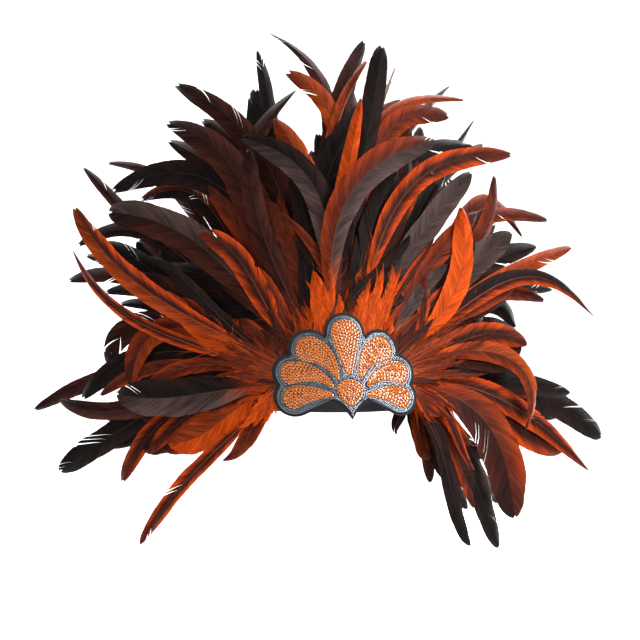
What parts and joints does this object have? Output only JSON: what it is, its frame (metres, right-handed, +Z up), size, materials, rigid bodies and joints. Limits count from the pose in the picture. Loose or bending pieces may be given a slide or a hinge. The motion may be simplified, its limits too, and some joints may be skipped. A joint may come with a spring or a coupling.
{
  "type": "carnival feather headdress",
  "caption": "Carnival headdress: a wide fan of cock feathers in orange, rust and black round a scalloped forehead patch with sequinned petals, on a plain head band.",
  "frame": {"origin": "centre of the head opening, level with the head band's lower rim", "axes": "+Z up along the wearer's head, -Y to the front, where the patch is, +X to the right as seen from the front"},
  "size_m": [0.6806, 0.373, 0.5924],
  "materials": {
    "black_elastic": "matt woven elastic",
    "black_felt": "matt felt",
    "coal_feather": "satin black feather with a faint cold sheen",
    "sable_feather": "satin dark brown feather",
    "rust_feather": "satin reddish brown feather with orange edges",
    "ember_feather": "satin bright orange feather with a dark middle",
    "silver_sequin": "rows of small glossy silver sequins",
    "orange_sequin": "rows of small glossy orange sequins"
  },
  "bodies": {
    "root": {"head_band": "black_elastic", "felt_base": "black_felt", "left_plume_1": "coal_feather", "left_plume_2": "coal_feather", "left_plume_3": "sable_feather", "left_plume_4": "coal_feather", "left_plume_5": "sable_feather", "left_plume_6": "rust_feather", "left_plume_7": "sable_feather", "left_plume_8": "ember_feather", "left_plume_9": "coal_feather", "left_plume_10": "ember_feather", "crown_plume_1": "coal_feather", "crown_plume_2": "coal_feather", "crown_plume_3": "sable_feather", "crown_plume_4": "coal_feather", "crown_plume_5": "sable_feather", "crown_plume_6": "rust_feather", "crown_plume_7": "sable_feather", "crown_plume_8": "ember_feather", "crown_plume_9": "coal_feather", "crown_plume_10": "ember_feather", "right_plume_1": "coal_feather", "right_plume_2": "coal_feather", "right_plume_3": "sable_feather", "right_plume_4": "coal_feather", "right_plume_5": "sable_feather", "right_plume_6": "rust_feather", "right_plume_7": "sable_feather", "right_plume_8": "ember_feather", "right_plume_9": "coal_feather", "right_plume_10": "ember_feather", "patch_backing": "black_felt", "silver_trim": "silver_sequin", "petal_left_lower": "orange_sequin", "petal_left_middle": "orange_sequin", "petal_left_upper": "orange_sequin", "petal_crown": "orange_sequin", "petal_right_upper": "orange_sequin", "petal_right_middle": "orange_sequin", "petal_right_lower": "orange_sequin", "rosette": "orange_sequin"}
  },
  "joints": []
}
